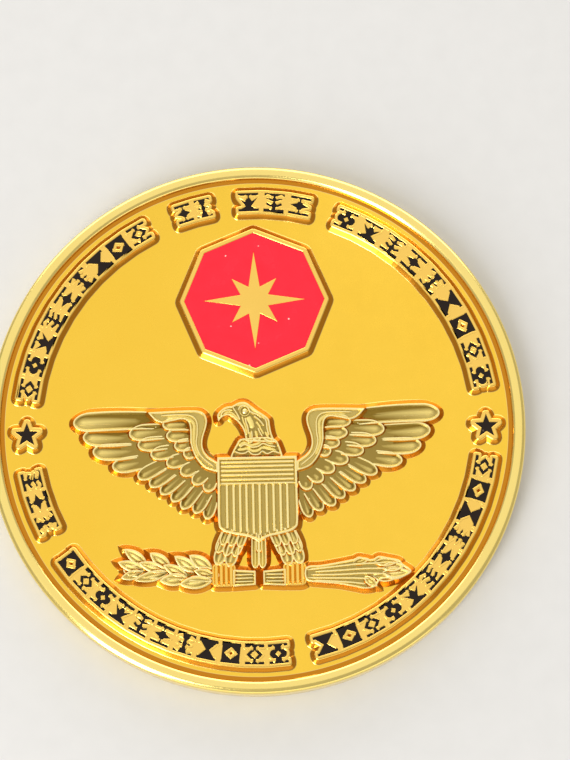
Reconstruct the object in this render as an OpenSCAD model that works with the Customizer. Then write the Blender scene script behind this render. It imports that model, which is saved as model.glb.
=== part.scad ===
// Struck challenge coin with hard-enamel fills.
// One die-struck, gold-plated body carries every raised line; each sunk cell holds its own enamel piece.
// Origin: centre of the reverse resting plane. +Z leaves the obverse, +Y points to the top of the design.

/* [Blank] */
// Coin diameter over the rim
coin_d = 44.45; // [44:0.05:45]
// Overall thickness, rim to rim
coin_t = 3; // [2.8:0.1:3.4]
// Width of the raised rim
rim_w = 1.1; // [1:0.05:1.2]
// Radius that rounds each rim edge
rim_round = 0.4; // [0.35:0.01:0.42]
// Depth of the sunk field below the rim crest
field_depth = 0.45; // [0.4:0.01:0.5]

/* [Raised work] */
// Height of the pads and devices above the field
relief_h = 0.4; // [0.34:0.01:0.4]
// Height of the flat ground inside the eagle above the field
ground_h = 0.28; // [0.22:0.01:0.3]
// Width of the gold line left round each enamel cell
edge_line = 0.14; // [0.12:0.01:0.16]
// Horizontal run of the drafted pad walls
draft_run = 0.44; // [0.4:0.01:0.46]
// How far the enamel lies below the pad tops
enamel_sink = 0.04; // [0.02:0.01:0.06]

/* [Border] */
// Mid radius of the ring of ornaments
border_r = 19.05; // [19:0.01:19.1]
// Height of one border ornament
ornament_h = 1.62; // [1.5:0.01:1.66]
// Clear gap left between neighbouring ornaments
ornament_gap = 0.36; // [0.32:0.01:0.46]
// Circumradius of the two side stars
star_r = 1.05; // [0.95:0.01:1.1]

/* [Badge] */
// Circumradius of the red octagon cell
badge_r = 5.87; // [5.7:0.01:5.95]
// Height of the badge centre above the coin centre
badge_y = 10.5; // [10.4:0.05:10.6]
// Reach of the four long compass rays
ray_long = 4.3; // [4:0.1:4.5]
// Reach of the four short compass rays
ray_short = 2.7; // [2.4:0.1:3]

/* [Reverse] */
// Radius of the laurel ring on the reverse
wreath_r = 16.2; // [15.8:0.1:16.4]
// Radius of the plain disc for engraving
plate_r = 12.4; // [12:0.1:12.6]

/* [Hidden] */
EPS = 0.01;
coin_r = coin_d / 2;
field_z = coin_t - field_depth;
pad_z = field_z + relief_h;
ground_z = field_z + ground_h;
enamel_h = relief_h - enamel_sink;
pad_grow = edge_line + draft_run / 2;
star_x = 18.95;
star_y = -0.65;
dish_r = coin_r - rim_w;
bead_r = coin_r - rim_round;
bead_in_r = dish_r + rim_round;
land_z = rim_round;

// Arcs of the border ornaments: [first angle, last angle, how many, first pattern, tops inwards]
ARCS = [
    [173.3, 117.2, 9, 0, false],
    [110.2, 100.1, 2, 4, false],
    [94.3, 74.7, 3, 6, false],
    [69.0, 7.6, 9, 3, false],
    [190.8, 207.4, 3, 1, true],
    [213.7, 277.1, 11, 5, true],
    [282.8, 350.9, 11, 2, true],
];
PATTERN_COUNT = 8;
ORNAMENT_HALF_MAX = 0.86;
// Half the width that an arc leaves for each of its ornaments
function half_width(a) =
    min(ORNAMENT_HALF_MAX, (PI * border_r / 180 * abs(a[1] - a[0]) / a[2] - ornament_gap) / 2);
// Every ornament as [angle, pattern, tops inwards, half width], in reading order
ORNAMENTS = [for (a = ARCS) for (i = [0 : a[2] - 1])
    [a[0] + (i + 0.5) * (a[1] - a[0]) / a[2], (a[3] + 3 * i) % PATTERN_COUNT, a[4], half_width(a)]];

function two_digits(n) = str(n < 10 ? "0" : "", n);
ORNAMENT_NODES = [for (i = [1 : len(ORNAMENTS)]) str("border_enamel_", two_digits(i))];

// ---- Outlines of the eagle, for the half at positive x ----

// Feathers as [root x, root y, tip x, tip y, width]; later feathers lie over earlier ones
FEATHERS = [
    [9.6, -3.00, 11.85, -3.45, 1.05],
    [9.6, -2.10, 13.45, -2.10, 1.15],
    [10.0, -1.05, 14.25, -0.80, 1.20],
    [8.3, 0.35, 15.05, 0.62, 1.40],
    [3.7, -6.30, 4.25, -7.90, 0.75],
    [4.2, -5.80, 5.20, -7.40, 0.80],
    [4.9, -5.40, 6.25, -7.00, 0.85],
    [5.6, -4.90, 7.05, -6.40, 0.85],
    [6.3, -4.40, 7.95, -5.75, 0.90],
    [7.0, -3.90, 8.80, -5.05, 0.90],
    [7.8, -3.30, 9.75, -4.35, 0.95],
    [3.7, -4.60, 4.25, -5.60, 0.80],
    [4.3, -4.10, 5.25, -4.95, 0.85],
    [5.1, -3.50, 6.25, -4.10, 0.90],
    [6.0, -2.80, 7.40, -3.30, 0.90],
    [6.8, -2.15, 8.75, -2.50, 0.95],
    [7.2, -1.50, 9.80, -1.65, 0.95],
    [7.4, -0.55, 10.50, -0.70, 1.10],
    [5.2, -2.35, 6.00, -2.55, 0.75],
    [5.4, -1.65, 6.75, -1.85, 0.80],
    [5.5, -0.85, 7.45, -0.95, 0.85],
    [5.5, 0.00, 7.75, 0.05, 0.90],
];
// Leading edge of the wing, from the outer end over the shoulder to the shield
SHOULDER = [
    [8.7, 1.0], [6.4, 1.05], [4.9, 1.05], [4.3, 0.75], [4.25, 0.2], [4.7, -1.0], [4.75, -1.8],
    [4.5, -2.4], [3.5, -3.2], [3.4, -3.9], [4.1, -3.85], [5.0, -3.1], [5.6, -2.2], [5.75, -0.8],
    [5.8, 0.1], [6.4, 0.4], [7.6, 0.2], [8.3, 0.5],
];
HEAD = [
    [-1.75, 1.5], [-2.44, 1.47], [-2.94, 1.12], [-3.25, 0.75], [-3.16, 0.22], [-2.94, 0.5],
    [-2.5, 0.78], [-2.1, 0.66], [-1.44, 0.06], [-1.0, -0.75], [-0.9, -1.25], [-1.35, -1.35],
    [-1.75, -2.0], [-2.2, -2.85], [2.1, -2.85], [1.75, -1.87], [1.25, -1.0], [1.06, 0.06],
    [0.62, 0.69], [-0.19, 1.19], [-0.81, 1.72], [-1.3, 1.78],
];
SHIELD = [
    [-3.25, -2.8], [3.2, -2.8], [3.2, -8.2], [2.9, -8.85], [2.2, -9.1], [0.8, -9.4], [0, -9.85],
    [-0.8, -9.4], [-2.2, -9.1], [-3.0, -8.85], [-3.25, -8.2],
];
RIGHT_LEG = [[0.9, -9.3], [3.2, -9.1], [3.55, -10.5], [3.6, -11.6], [2.3, -11.7], [1.6, -10.8]];
FOOT = [[2.05, -11.6], [3.65, -11.6], [3.75, -13.3], [3.3, -13.5], [2.5, -13.5], [2.1, -13.3]];
TAIL = [[-0.7, -9.3], [0.7, -9.3], [0.6, -11.8], [0.3, -12.1], [-0.3, -12.1], [-0.6, -11.8]];
// Laurel leaves in the left foot, as [root x, root y, tip x, tip y, width]
LEAVES = [
    [-9.1, -11.6, -10.75, -10.3, 0.80], [-7.2, -11.8, -8.75, -10.75, 0.85],
    [-5.1, -12.2, -6.75, -11.0, 0.85], [-3.9, -12.1, -5.55, -10.95, 0.90],
    [-9.4, -12.3, -11.3, -12.55, 0.75], [-7.5, -12.2, -9.9, -12.75, 0.80],
    [-5.8, -12.6, -7.85, -12.95, 0.90], [-3.9, -12.7, -6.3, -13.25, 0.95],
    [-9.4, -12.1, -11.35, -11.4, 0.80], [-7.6, -12.2, -9.6, -11.5, 0.80],
    [-5.9, -12.4, -7.65, -11.8, 0.75], [-3.7, -12.7, -5.1, -12.15, 0.70],
];
// Arrow shafts in the right foot, as [start x, start y, end x, end y]
SHAFTS = [[3.7, -12.2, 10.6, -11.6], [3.7, -12.55, 11.6, -12.35], [3.7, -12.9, 10.6, -12.95],
    [3.7, -13.1, 8.6, -13.45]];

// ---- Flat shapes ----

// A leaf or feather from root to tip: near-parallel sides and a round end
module blade(b) {
    run = [b[2] - b[0], b[3] - b[1]];
    l = norm(run);
    u = run / l;
    n = [-u[1], u[0]];
    half = b[4] / 2;
    round_len = min(0.9 * half, 0.6 * l);
    root = [b[0], b[1]];
    polygon(concat(
        [root + 0.7 * half * n, root - 0.7 * half * n],
        [for (a = [-90 : 30 : 90])
            root + (l - round_len + round_len * cos(a)) * u + half * sin(a) * n]));
}

// A leaf pointed at both ends
module leaf(b) {
    run = [b[2] - b[0], b[3] - b[1]];
    n = [-run[1], run[0]] / norm(run) * b[4] / 2;
    root = [b[0], b[1]];
    polygon(concat(
        [for (t = [0 : 0.2 : 0.8]) root + t * run + sin(180 * t) * n],
        [for (t = [1 : -0.2 : 0.2]) root + t * run - sin(180 * t) * n]));
}

module star_outline(points, outer, inner, first = 90) {
    polygon([for (i = [0 : 2 * points - 1])
        (i % 2 == 0 ? outer : inner)
            * [cos(first + 180 * i / points), sin(first + 180 * i / points)]]);
}

module diamond(half_w, half_h) {
    polygon([[half_w, 0], [0, half_h], [-half_w, 0], [0, -half_h]]);
}

// An outline from its right-hand half, listed from bottom to top
function both_sides(half) = concat(half, [for (i = [len(half) - 1 : -1 : 0]) [-half[i][0], half[i][1]]]);

// The motif of one border ornament, centred, up to 2 * w wide and 2 * h tall
module motif(pattern, w, h) {
    stem = 0.15;
    if (pattern == 0) difference() {
        diamond(0.9 * w, h);
        diamond(0.42 * w, 0.45 * h);
    }
    if (pattern == 1)
        polygon(both_sides([[stem, -h], [stem, -0.45], [0.85 * w, -0.2], [0.7 * w, 0.06], [stem, -0.1],
            [stem, 0], [0.85 * w, 0.28], [0.7 * w, 0.5], [stem, 0.32], [stem, h]]));
    if (pattern == 2)
        polygon(both_sides([[w, -h], [stem, 0], [w, h]]));
    if (pattern == 3) difference() {
        union() for (side = [-1, 1]) {
            translate([side * (w - 0.42), 0]) circle(r = 0.38, $fn = 12);
            translate([0, side * 0.3]) circle(r = 0.38, $fn = 12);
        }
        diamond(0.22, 0.22);
    }
    if (pattern == 4) scale([w / h, 1]) star_outline(4, h, 0.3);
    if (pattern == 5) difference() {
        square([2 * w, 2 * h], center = true);
        diamond(0.74 * w, 0.7 * h);
    }
    if (pattern == 6)
        polygon(both_sides([[w, -h], [0.3 * w, -0.5 * h], [w, 0.6 * h], [0.35 * w, 0.1], [0, h]]));
    if (pattern == 7) union() for (y = [-1, 0, 1]) translate([0, y * 0.62 * h])
        diamond(0.8 * w, 0.38 * h);
}

// One border ornament: its motif between two level bars, as tall as ornament_h
module ornament(pattern, w) {
    h = ornament_h / 2;
    bar = 0.24;
    union() {
        motif(pattern, 0.95 * w, h - bar / 2);
        for (y = [-h, h - bar]) translate([-w, y]) square([2 * w, bar]);
    }
}

module place_ornament(o) {
    rotate(o[0]) translate([border_r, 0]) rotate(o[2] ? 90 : -90) ornament(o[1], o[3]);
}

module place_star(side) {
    translate([side * star_x, star_y]) star_outline(5, star_r, 0.42 * star_r);
}

module compass_star() {
    union() {
        star_outline(4, ray_long, 0.8);
        star_outline(4, ray_short, 0.9, first = 45);
    }
}

module badge_cell() {
    difference() {
        circle(r = badge_r, $fn = 8);
        compass_star();
    }
}

// Every sunk cell on the obverse
module cells() {
    for (o = ORNAMENTS) place_ornament(o);
    for (side = [-1, 1]) place_star(side);
}

// Wings, head, shield, legs and tail as one plan shape
module eagle_plan() {
    for (side = [0, 1]) mirror([side, 0]) {
        for (f = FEATHERS) blade(f);
        polygon(SHOULDER);
        polygon([[3, -3], [4.4, -3.2], [6.5, -3.2], [4.4, -5.6], [3.8, -7.8], [3, -8]]);
        polygon(RIGHT_LEG);
        polygon(FOOT);
    }
    polygon(HEAD);
    polygon(SHIELD);
    polygon(TAIL);
    for (b = LEAVES) leaf(b);
    for (s = SHAFTS) blade([s[0], s[1], s[2], s[3], 0.5]);
}

// The raised line round one blade, cut away where later blades cover it
module blade_lines(list, line_w) {
    for (i = [0 : len(list) - 1]) difference() {
        blade(list[i]);
        offset(delta = -line_w) blade(list[i]);
        if (i < len(list) - 1)
            for (j = [i + 1 : len(list) - 1]) offset(delta = -line_w) blade(list[j]);
    }
}

module eagle_lines() {
    line_w = 0.15;
    wings_in = 3.45;
    for (side = [0, 1]) mirror([side, 0]) {
        difference() {
            blade_lines(FEATHERS, line_w);
            offset(delta = -line_w) polygon(SHOULDER);
            translate([0, -9]) square([wings_in, 12]);
        }
        difference() {
            polygon(SHOULDER);
            offset(delta = -line_w) polygon(SHOULDER);
        }
        polygon(FOOT);
    }
    difference() {
        polygon(HEAD);
        offset(delta = -line_w) polygon(HEAD);
    }
    translate([-0.95, 1.05]) circle(r = 0.25, $fn = 12);
    for (b = LEAVES) difference() {
        leaf(b);
        offset(delta = -line_w) leaf(b);
    }
    for (s = SHAFTS) blade([s[0], s[1], s[2], s[3], 0.22]);
    shield_lines();
}

// Border of the shield, five level bars in the chief, eleven upright bars below
module shield_lines() {
    line_w = 0.2;
    chief_y = -5;
    difference() {
        polygon(SHIELD);
        offset(delta = -line_w) polygon(SHIELD);
    }
    intersection() {
        polygon(SHIELD);
        union() {
            for (i = [1 : 5]) translate([-4, -2.8 - i * 0.38]) square([8, line_w]);
            translate([-4, chief_y - line_w]) square([8, line_w]);
            for (i = [-5 : 5]) translate([i * 0.56 - line_w / 2, -10]) square([line_w, 10 + chief_y]);
        }
    }
}

// ---- Pieces ----

// Rim with two rounded edges and a narrow flat crest on each side
module rim() {
    difference() {
        translate([0, 0, land_z]) cylinder(r = coin_r, h = coin_t - 2 * land_z, $fn = 180);
        translate([0, 0, -EPS]) cylinder(r = dish_r, h = coin_t + 2 * EPS, $fn = 180);
    }
    difference() {
        cylinder(r = bead_r, h = coin_t, $fn = 180);
        translate([0, 0, -EPS]) cylinder(r = bead_in_r, h = coin_t + 2 * EPS, $fn = 180);
    }
    for (z = [land_z, coin_t - land_z]) for (r = [bead_r, bead_in_r])
        translate([0, 0, z]) rotate_extrude($fn = 180) translate([r, 0]) circle(r = rim_round, $fn = 32);
}

module border_pads() {
    translate([0, 0, field_z - EPS]) linear_extrude(relief_h + EPS) difference() {
        offset(delta = pad_grow, chamfer = true) cells();
        cells();
    }
}

module badge_pad() {
    translate([0, badge_y, field_z - EPS]) linear_extrude(relief_h + EPS) difference() {
        circle(r = badge_r + pad_grow, $fn = 8);
        badge_cell();
    }
}

module eagle() {
    translate([0, 0, field_z - EPS]) linear_extrude(ground_h + EPS)
        offset(delta = draft_run / 2) eagle_plan();
    translate([0, 0, ground_z - EPS]) linear_extrude(pad_z - ground_z + EPS)
        offset(delta = EPS / 2) eagle_lines();
}

// Laurel ring and plain engraving disc, standing on the reverse field
module reverse_work() {
    leaf_count = 28;
    reverse_z = field_depth - relief_h;
    translate([0, 0, reverse_z]) cylinder(r = plate_r, h = relief_h + EPS, $fn = 120);
    translate([0, 0, reverse_z]) linear_extrude(relief_h + EPS)
        for (i = [0 : leaf_count - 1]) rotate(i * 360 / leaf_count)
            for (side = [-1, 1])
                leaf([wreath_r + side * 0.2, 0, wreath_r + side * 1.5, 2.6, 1.1]);
}

module coin_body() {
    color("goldenrod") {
        translate([0, 0, field_depth]) cylinder(r = dish_r + EPS, h = field_z - field_depth, $fn = 180);
        rim();
        border_pads();
        badge_pad();
        eagle();
        reverse_work();
    }
}

module badge_enamel() {
    color("crimson") translate([0, badge_y, field_z]) linear_extrude(enamel_h) badge_cell();
}

module star_enamel(side) {
    color([0.1, 0.08, 0.07]) translate([0, 0, field_z]) linear_extrude(enamel_h) place_star(side);
}

module border_enamel(i) {
    color([0.1, 0.08, 0.07]) translate([0, 0, field_z]) linear_extrude(enamel_h)
        place_ornament(ORNAMENTS[i]);
}

coin_body();
badge_enamel();
star_enamel(-1);  // left_star_enamel
star_enamel(1);  // right_star_enamel
for (i = [0 : len(ORNAMENT_NODES) - 1])
    border_enamel(i);
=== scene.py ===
from math import atan2, ceil, cos, pi, radians, sin

import bmesh
import bpy
from mathutils import Matrix, Vector


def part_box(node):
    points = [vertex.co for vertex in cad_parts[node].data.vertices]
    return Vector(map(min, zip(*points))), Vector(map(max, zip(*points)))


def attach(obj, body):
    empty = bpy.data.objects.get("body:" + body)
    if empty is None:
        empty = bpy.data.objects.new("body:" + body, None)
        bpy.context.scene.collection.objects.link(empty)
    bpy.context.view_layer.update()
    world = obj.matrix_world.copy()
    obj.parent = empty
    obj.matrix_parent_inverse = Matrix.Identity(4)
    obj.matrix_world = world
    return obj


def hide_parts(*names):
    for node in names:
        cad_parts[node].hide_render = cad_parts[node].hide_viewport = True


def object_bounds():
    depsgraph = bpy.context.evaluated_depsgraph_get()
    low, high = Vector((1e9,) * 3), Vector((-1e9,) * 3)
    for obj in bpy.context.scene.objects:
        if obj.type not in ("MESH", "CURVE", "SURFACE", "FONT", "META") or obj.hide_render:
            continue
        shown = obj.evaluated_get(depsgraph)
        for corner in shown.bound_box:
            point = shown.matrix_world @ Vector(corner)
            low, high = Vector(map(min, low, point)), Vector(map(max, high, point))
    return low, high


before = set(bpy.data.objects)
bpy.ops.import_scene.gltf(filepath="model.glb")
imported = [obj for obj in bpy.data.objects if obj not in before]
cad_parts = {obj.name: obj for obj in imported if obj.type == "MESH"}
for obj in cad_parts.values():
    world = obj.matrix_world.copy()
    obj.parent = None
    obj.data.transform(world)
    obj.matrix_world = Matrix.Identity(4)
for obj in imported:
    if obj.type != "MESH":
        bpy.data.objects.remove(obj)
cad_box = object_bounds()

MM = 0.001


# ---- Camera, floor and light -----------------------------------------------------------------
# The coin lies on its reverse on a pale table. The camera stands over its foot, a little off the vertical.
# Broad softboxes hang overhead and stand low behind and in front, and a tall window at the lower left
# sparkles on the rim.

# The pads, the badge and the eagle all end just below the crest of the rim
PAD_DROP = 0.05 * MM
PAD_Z = cad_box[1].z - PAD_DROP


def look(tilt, lean, roll):
    """Turn from the coin's axes to the camera's right, up and back axes."""
    return Matrix.Rotation(tilt, 3, "X") @ Matrix.Rotation(lean, 3, "Y") @ Matrix.Rotation(roll, 3, "Z")


def make_camera():
    turn = look(radians(-12.82), radians(0.19), radians(1.22))
    aim = Vector((2.34 * MM, 3.55 * MM, 181.3 * MM))
    pad_top = Vector((0, 0, PAD_Z))
    data = bpy.data.cameras.new("camera")
    data.lens = 104.1
    data.sensor_width = 36
    data.clip_start = 5 * MM
    data.clip_end = 10
    camera = bpy.data.objects.new("camera", data)
    bpy.context.scene.collection.objects.link(camera)
    back = turn.transposed()
    camera.matrix_world = Matrix.Translation(back @ aim + pad_top) @ back.to_4x4()
    bpy.context.scene.camera = camera


def softbox(name, place, size, strength):
    """An area lamp facing the coin, as bright to look at as strength."""
    data = bpy.data.lights.new(name, "AREA")
    data.shape = "RECTANGLE"
    data.size, data.size_y = size
    data.energy = strength * pi * size[0] * size[1]
    lamp = bpy.data.objects.new(name, data)
    bpy.context.scene.collection.objects.link(lamp)
    lamp.location = place
    lamp.rotation_euler = (-Vector(place)).to_track_quat("-Z", "Y").to_euler()


make_camera()
softbox("overhead_softbox", (-0.02, 0.16, 0.42), (0.80, 0.60), 0.45)
softbox("back_softbox", (0.0, 0.45, 0.16), (0.9, 0.26), 2.1)
softbox("front_fill", (0.1, -0.55, 0.17), (0.9, 0.24), 0.8)
softbox("tall_window", (-0.261, -0.346, 0.339), (0.16, 0.55), 9.0)

world = bpy.data.worlds.new("studio")
bpy.context.scene.world = world
world.use_nodes = True
surroundings = world.node_tree.nodes["Background"].inputs
surroundings["Color"].default_value = (1.0, 0.97, 0.92, 1)
surroundings["Strength"].default_value = 0.52
bpy.context.scene.view_settings.view_transform = "Standard"


class Wire:
    """A shader socket that can be used in a sum: each operator adds a Math node."""

    def __init__(self, finish, socket):
        self.finish = finish
        self.socket = socket

    def math(self, operation, *others):
        return self.finish.node("ShaderNodeMath", {"operation": operation}, {
            i: value for i, value in enumerate((self, *others))})

    def __add__(self, other):
        return self.math("ADD", other)

    def __mul__(self, other):
        return self.math("MULTIPLY", other)

    def __pow__(self, other):
        return self.math("POWER", other)

    def __gt__(self, other):
        return self.math("GREATER_THAN", other)

    __radd__ = __add__
    __rmul__ = __mul__


class Finish:
    """A material under construction, with one Principled shader."""

    def __init__(self, name, **shader):
        self.material = bpy.data.materials.new(name)
        self.material.use_nodes = True
        self.tree = self.material.node_tree
        self.shader = self.tree.nodes["Principled BSDF"]
        self.set(**shader)

    def set(self, **values):
        """Puts numbers, colours or wires on the shader's sockets; an underscore stands for a space."""
        for name, value in values.items():
            self.feed(self.shader.inputs[name.replace("_", " ")], value)

    def feed(self, socket, value):
        if isinstance(value, Wire):
            self.tree.links.new(value.socket, socket)
        else:
            socket.default_value = value

    def node(self, kind, settings, inputs, output=0):
        made = self.tree.nodes.new(kind)
        for name, value in settings.items():
            setattr(made, name, value)
        for name, value in inputs.items():
            self.feed(made.inputs[name], value)
        return Wire(self, made.outputs[output])

    def place(self):
        return self.node("ShaderNodeTexCoord", {}, {}, "Object")

    def noise(self, size, detail=2, where=None, roughness=0.5):
        """Soft noise from 0 to 1 whose blobs are about size across, in metres."""
        return self.node("ShaderNodeTexNoise", {}, {
            "Vector": where or self.place(), "Scale": 1 / size, "Detail": detail, "Roughness": roughness})

    def span(self, value, low, high):
        """0 at low, 1 at high, and straight between them."""
        return self.node("ShaderNodeMapRange", {"clamp": True}, {
            "Value": value, "From Min": low, "From Max": high})

    def mix(self, amount, first, second):
        return self.node("ShaderNodeMix", {"data_type": "RGBA"}, {0: amount, 6: first, 7: second}, 2)

    def bump(self, height, depth, below=None):
        """Height from 0 to 1, raised by depth in metres."""
        inputs = {"Height": height, "Distance": depth, "Strength": 1}
        if below:
            inputs["Normal"] = below
        return self.node("ShaderNodeBump", {}, inputs)


def make_floor():
    half_side = 6
    bm = bmesh.new()
    bmesh.ops.create_grid(bm, x_segments=1, y_segments=1, size=half_side)
    mesh = bpy.data.meshes.new("floor")
    bm.to_mesh(mesh)
    bm.free()
    floor = bpy.data.objects.new("floor", mesh)
    bpy.context.scene.collection.objects.link(floor)
    paper = Finish("pale_paper", Roughness=0.75)
    fibres = paper.noise(2 * MM, 3)
    paper.set(Base_Color=paper.mix(fibres, (0.62, 0.612, 0.596, 1), (0.66, 0.651, 0.634, 1)))
    mesh.materials.append(paper.material)


make_floor()


# ---- Gold finishes ---------------------------------------------------------------------------
# The coin is struck in brass and gold plated. The rim and every raised edge are polished and the sunk field
# is satin, though the eagle's crest lines get a paler cream copy of the gold as a painted highlight. The
# drafted walls get a darker, redder copy of the gold as painted shade and reflection, with a pale cream band
# at their foot as a painted highlight.
# The ground inside the eagle is blasted pale and darkened low down as painted shade.

def ring_brushing(finish, pitch):
    """Fine lines that run round the coin, from 0 to 1."""
    x = finish.node("ShaderNodeSeparateXYZ", {}, {"Vector": finish.place()})
    y = Wire(finish, x.socket.node.outputs[1])
    z = Wire(finish, x.socket.node.outputs[2])
    radius = (x * x + y * y) ** 0.5
    turn = y.math("ARCTAN2", x)
    spread = finish.node("ShaderNodeCombineXYZ", {}, {"X": radius, "Y": turn * (0.6 * MM), "Z": z})
    return finish.noise(pitch, 3, spread)


def gold(name, colour, roughness, grain, grain_depth, brushing=0.0, hollow=None, painted_light_span=None):
    """Plated metal with a fine grain, soft handling marks and a slight drift of tone.

    Low spots take the colour hollow, painted light set by their height and not by the lamps; it fades out
    between the two heights given for it.
    """
    finish = Finish(name, Metallic=1.0)
    fine = finish.noise(grain, 2)
    drift = finish.noise(5 * MM, 2)
    haze = finish.span(finish.noise(1.3 * MM, 4, roughness=0.6), 0.35, 0.75)
    deeper = (colour[0] * 0.95, colour[1] * 0.90, colour[2] * 0.72, 1)
    tone = finish.mix(drift * 0.6 + fine * 0.4, deeper, (*colour, 1))
    # Painted light by height: low spots take the colour hollow
    if hollow:
        height = finish.node("ShaderNodeSeparateXYZ", {}, {"Vector": finish.place()}, "Z")
        tone = finish.mix(finish.span(height, *painted_light_span), (*hollow, 1), tone)
    finish.set(
        Base_Color=tone,
        Roughness=roughness + (haze * 0.10 + fine * 0.06) * (0.5 + roughness),
    )
    relief = finish.bump(fine, grain_depth)
    if brushing:
        relief = finish.bump(ring_brushing(finish, brushing), 0.7 * grain_depth, relief)
    finish.set(Normal=relief)
    return finish.material


POLISHED = gold("polished_gold", (1.0, 0.66, 0.15), 0.16, 0.09 * MM, 0.0010 * MM)
RIM_GOLD = gold("rim_gold", (1.0, 0.80, 0.27), 0.13, 0.12 * MM, 0.0012 * MM, brushing=0.16 * MM)
# Walls: a darker, redder copy of the gold as painted shade and reflection; their foot turns pale cream, a
# painted highlight
WALL_GOLD_PAINTED_LIGHT = gold(
    "wall_gold_painted_light", (0.60, 0.245, 0.020), 0.19, 0.12 * MM, 0.0020 * MM, hollow=(1.0, 0.80, 0.30),
    painted_light_span=(PAD_Z - 0.40 * MM, PAD_Z - 0.376 * MM))
FIELD_GOLD = gold("field_gold", (1.0, 0.65, 0.074), 0.20, 0.10 * MM, 0.0028 * MM)
# Eagle ground: blasted pale gold whose low spots turn dark olive, painted shade in the recesses
BLASTED_PAINTED_SHADE = gold(
    "blasted_gold_painted_shade", (0.90, 0.74, 0.27), 0.46, 0.11 * MM, 0.0100 * MM, hollow=(0.24, 0.15, 0.022),
    painted_light_span=(PAD_Z - 0.185 * MM, PAD_Z - 0.080 * MM))
# Crest lines of the eagle: a paler cream copy of the gold, a painted highlight
CREST_PAINTED_HIGHLIGHT = gold("crest_painted_highlight", (1.0, 0.86, 0.42), 0.24, 0.09 * MM, 0.0010 * MM)
GOLDS = (POLISHED, WALL_GOLD_PAINTED_LIGHT, BLASTED_PAINTED_SHADE, FIELD_GOLD, RIM_GOLD, CREST_PAINTED_HIGHLIGHT)
EDGE, WALL, GROUND, FIELD, RIM, CREST = range(len(GOLDS))


# ---- Blank: rim, satin field, edge and reverse disc ------------------------------------------
# One upset blank of brass, struck between two dies. Its rim stands proud on both faces, and the reverse has
# a plain disc for engraving. It is turned here from its own section.

BLANK_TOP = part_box("coin_body")[1]
COIN_R = BLANK_TOP.x
COIN_T = BLANK_TOP.z
RIM_W = 1.1 * MM
RIM_ROUND = 0.4 * MM
FIELD_DEPTH = 0.45 * MM
FIELD_Z = COIN_T - FIELD_DEPTH
PLATE_R = 12.4 * MM
PLATE_DROP = 0.05 * MM
RIM_GROOVE = 0.34 * MM
# Walls start this far below the field, so that no gap shows at their feet
SUNK = 0.02 * MM
# Points closer than this are one point
MERGE = 0.0004 * MM


def rim_section():
    """The crown of the rim from the outer edge inwards, as radius and height above the straight edge."""
    crest_r = COIN_R - RIM_W / 2
    steps = 10
    power = 2.2
    points = []
    for i in range(2 * steps + 1):
        a = pi * i / (2 * steps)
        c, s = cos(a), sin(a)
        across = (1 if c >= 0 else -1) * abs(c) ** (2 / power)
        points.append((crest_r + RIM_W / 2 * across, RIM_ROUND * abs(s) ** (2 / power)))
    return points


def finish_mesh(bm, name):
    """Turns a finished bmesh into a shown piece that rides with the coin."""
    crease = radians(32)
    bmesh.ops.remove_doubles(bm, verts=bm.verts, dist=MERGE)
    bmesh.ops.recalc_face_normals(bm, faces=bm.faces)
    mesh = bpy.data.meshes.new(name)
    bm.to_mesh(mesh)
    bm.free()
    for material in GOLDS:
        mesh.materials.append(material)
    mesh.shade_smooth()
    mesh.set_sharp_from_angle(angle=crease)
    piece = bpy.data.objects.new(name, mesh)
    bpy.context.scene.collection.objects.link(piece)
    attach(piece, "root")
    return piece


def turned(bm, section, steps=288):
    """Spins a section of (radius, height, finish) points round the coin; a finish is for the next face."""
    verts = [bm.verts.new((r, 0, z)) for r, z, _ in section]
    edges = [bm.edges.new(pair) for pair in zip(verts, verts[1:])]
    bmesh.ops.spin(
        bm, geom=verts + edges, cent=(0, 0, 0), axis=(0, 0, 1), dvec=(0, 0, 0),
        angle=2 * pi, steps=steps, use_merge=True, use_duplicate=False)
    bmesh.ops.remove_doubles(bm, verts=bm.verts, dist=MERGE)

    def reach(ends):
        """The least and the greatest (radius, height) of a face or a step of the section."""
        return Vector((*min(ends), *max(ends)))

    strips = [(reach((a[:2], b[:2])), a[2]) for a, b in zip(section, section[1:])]
    for face in bm.faces:
        face_reach = reach([(Vector(v.co.xy).length, v.co.z) for v in face.verts])
        face.material_index = min(strips, key=lambda strip: (strip[0] - face_reach).length)[1]


def make_blank():
    bm = bmesh.new()
    crown = rim_section()
    top = [(r, COIN_T - RIM_ROUND + h, RIM) for r, h in crown]
    inner = COIN_R - RIM_W
    under = [(r, RIM_ROUND - h, RIM) for r, h in reversed(crown)]
    section = (
        [(0, FIELD_Z, FIELD), (inner - RIM_GROOVE, FIELD_Z, WALL),
         (inner - 0.85 * RIM_GROOVE, FIELD_Z + 0.025 * MM, WALL),
         (inner - 0.3 * RIM_GROOVE, FIELD_Z + 0.035 * MM, WALL)]
        + list(reversed(top))
        + [(COIN_R, COIN_T / 2, RIM)]
        + list(reversed(under))
        + [(inner, FIELD_DEPTH - SUNK, WALL), (inner - RIM_GROOVE, FIELD_DEPTH, FIELD),
           (PLATE_R + 0.36 * MM, FIELD_DEPTH, WALL), (PLATE_R + 0.04 * MM, PLATE_DROP + 0.03 * MM, EDGE),
           (PLATE_R - 0.04 * MM, PLATE_DROP, FIELD), (0, PLATE_DROP, FIELD)])
    turned(bm, section)
    piece = finish_mesh(bm, "coin_blank")
    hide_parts("coin_body")


make_blank()


# ---- Border pads and star pads ---------------------------------------------------------------
# Each black ornament lies in a cell sunk in a raised pad of the struck blank. A polished line is left round
# the cell, and from it the pad's wall slopes down to the field. The ornaments of a group share one pad.

ENAMEL_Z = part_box("badge_enamel")[1].z
FOOT_Z = FIELD_Z - SUNK
BORDER_LINE = 0.20 * MM
STAR_LINE = 0.27 * MM
PAD_RUN = 0.40 * MM
GAP_IN_PAD = 0.6 * MM


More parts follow.
